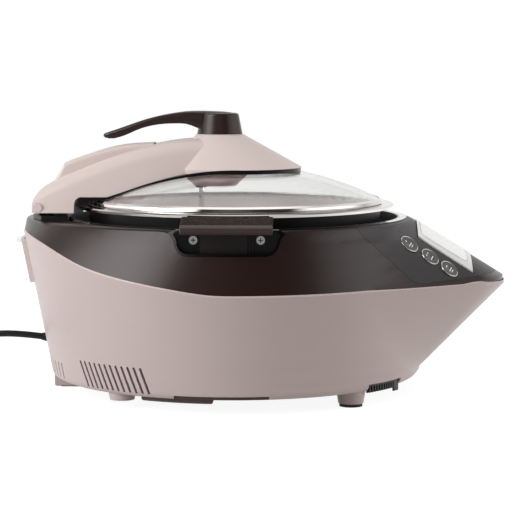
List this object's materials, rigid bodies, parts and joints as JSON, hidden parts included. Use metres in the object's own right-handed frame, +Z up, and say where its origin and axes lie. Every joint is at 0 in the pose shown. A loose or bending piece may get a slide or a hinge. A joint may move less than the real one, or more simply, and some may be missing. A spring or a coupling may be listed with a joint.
{
  "type": "multicooker",
  "caption": "Countertop multicooker with a hinged glass lid on a moulded arm, twist handle, lift-out pan and sloping control panel",
  "frame": {"origin": "middle of the machine's plan box, cord apart, at the level its feet stand on", "axes": "+Z up, +X towards the control panel, the lid hinge is at -X"},
  "size_m": [0.7191, 0.4012, 0.276],
  "materials": {
    "housing_beige": "satin grey-beige plastic",
    "arm_beige": "satin beige plastic",
    "collar_brown": "polished dark brown plastic",
    "handle_brown": "polished dark brown plastic",
    "panel_grey": "polished dark grey plastic",
    "display_silver": "silver lens",
    "button_silver": "satin plated",
    "black_plastic": "fine texture",
    "steel": "brushed",
    "bright_steel": "polished",
    "pan_coating": "non-stick coating",
    "aluminium": "cast",
    "glass": "clear",
    "clear_plastic": "clear",
    "seal_rubber": "silicone",
    "foot_rubber": "matt",
    "cord_black": "matt",
    "boss_mauve": "satin grey-mauve plastic",
    "board_green": "circuit board",
    "base_brown": "satin dark brown plastic"
  },
  "bodies": {
    "base": {"base_cover": "base_brown", "base_plate": "base_brown", "bezel_ring": "steel", "button_boards": "board_green", "control_board": "board_green", "control_panel": "panel_grey", "cord_coil": "cord_black", "cord_tube": "cord_black", "display_module": "black_plastic", "display_window": "display_silver", "fan_frame": "black_plastic", "foot_pads": "foot_rubber", "front_feet": "housing_beige", "front_grilles": "black_plastic", "handle_brackets": "steel", "handle_recess_far": "black_plastic", "handle_recess_near": "black_plastic", "heater_bracket": "steel", "heater_plate": "aluminium", "heating_element": "steel", "hinge_bracket": "black_plastic", "inner_pan": "pan_coating", "lower_housing": "housing_beige", "mains_plug": "cord_black", "pan_handle_far": "black_plastic", "pan_handle_near": "black_plastic", "pan_sensor": "bright_steel", "plug_pins": "bright_steel", "power_board": "board_green", "power_components": "black_plastic", "rear_foot": "housing_beige", "recess_screws": "bright_steel", "screw_towers": "housing_beige", "strain_relief": "cord_black", "upper_collar": "collar_brown", "well_liner": "aluminium"},
    "lid": {"lid_glass": "glass", "lid_ring": "bright_steel", "lid_seal": "seal_rubber", "arm_shell": "arm_beige", "arm_spine_cover": "arm_beige", "arm_trim": "black_plastic", "lid_frame": "steel", "glass_clamp_boss": "boss_mauve", "probe_socket": "black_plastic", "food_probe": "bright_steel", "hinge_pin": "bright_steel", "hinge_caps": "boss_mauve", "hinge_spring": "bright_steel"},
    "twist_handle": {"lid_handle": "handle_brown", "handle_shaft": "bright_steel"},
    "collector": {"condensate_collector": "arm_beige", "collector_peg": "clear_plastic"},
    "fan": {"fan_rotor": "black_plastic"},
    "button_near_1_key": {"button_near_1": "button_silver"},
    "button_near_2_key": {"button_near_2": "button_silver"},
    "button_near_3_key": {"button_near_3": "button_silver"},
    "button_far_1_key": {"button_far_1": "button_silver"},
    "button_far_2_key": {"button_far_2": "button_silver"},
    "button_far_3_key": {"button_far_3": "button_silver"}
  },
  "joints": [
    {"name": "lid_hinge", "type": "hinge", "parent": "base", "child": "lid", "pos_m": [-0.2131, 0, 0.1838], "axis": [0, -1, 0], "range_deg": [0, 75]},
    {"name": "handle_twist", "type": "hinge", "parent": "lid", "child": "twist_handle", "pos_m": [-0.0395, 0, 0.25345], "axis": [0, 0, 1], "range_deg": [0, 90]},
    {"name": "collector_slide", "type": "slide", "parent": "base", "child": "collector", "axis": [-1, 0, 0], "range_m": [0, 0.03]},
    {"name": "fan_spin", "type": "hinge", "parent": "base", "child": "fan", "pos_m": [0.1075, 0, 0.026], "axis": [0, 0, 1], "continuous": true},
    {"name": "press_near_1", "type": "slide", "parent": "base", "child": "button_near_1_key", "axis": [-0.5401, 0.4701, -0.6981], "range_m": [0, 0.001], "stiffness_N_per_m": 400, "springref_m": -0.001},
    {"name": "press_near_2", "type": "slide", "parent": "base", "child": "button_near_2_key", "axis": [-0.5401, 0.4701, -0.6981], "range_m": [0, 0.001], "stiffness_N_per_m": 400, "springref_m": -0.001},
    {"name": "press_near_3", "type": "slide", "parent": "base", "child": "button_near_3_key", "axis": [-0.5401, 0.4701, -0.6981], "range_m": [0, 0.001], "stiffness_N_per_m": 400, "springref_m": -0.001},
    {"name": "press_far_1", "type": "slide", "parent": "base", "child": "button_far_1_key", "axis": [-0.5401, -0.4701, -0.6981], "range_m": [0, 0.001], "stiffness_N_per_m": 400, "springref_m": -0.001},
    {"name": "press_far_2", "type": "slide", "parent": "base", "child": "button_far_2_key", "axis": [-0.5401, -0.4701, -0.6981], "range_m": [0, 0.001], "stiffness_N_per_m": 400, "springref_m": -0.001},
    {"name": "press_far_3", "type": "slide", "parent": "base", "child": "button_far_3_key", "axis": [-0.5401, -0.4701, -0.6981], "range_m": [0, 0.001], "stiffness_N_per_m": 400, "springref_m": -0.001}
  ]
}
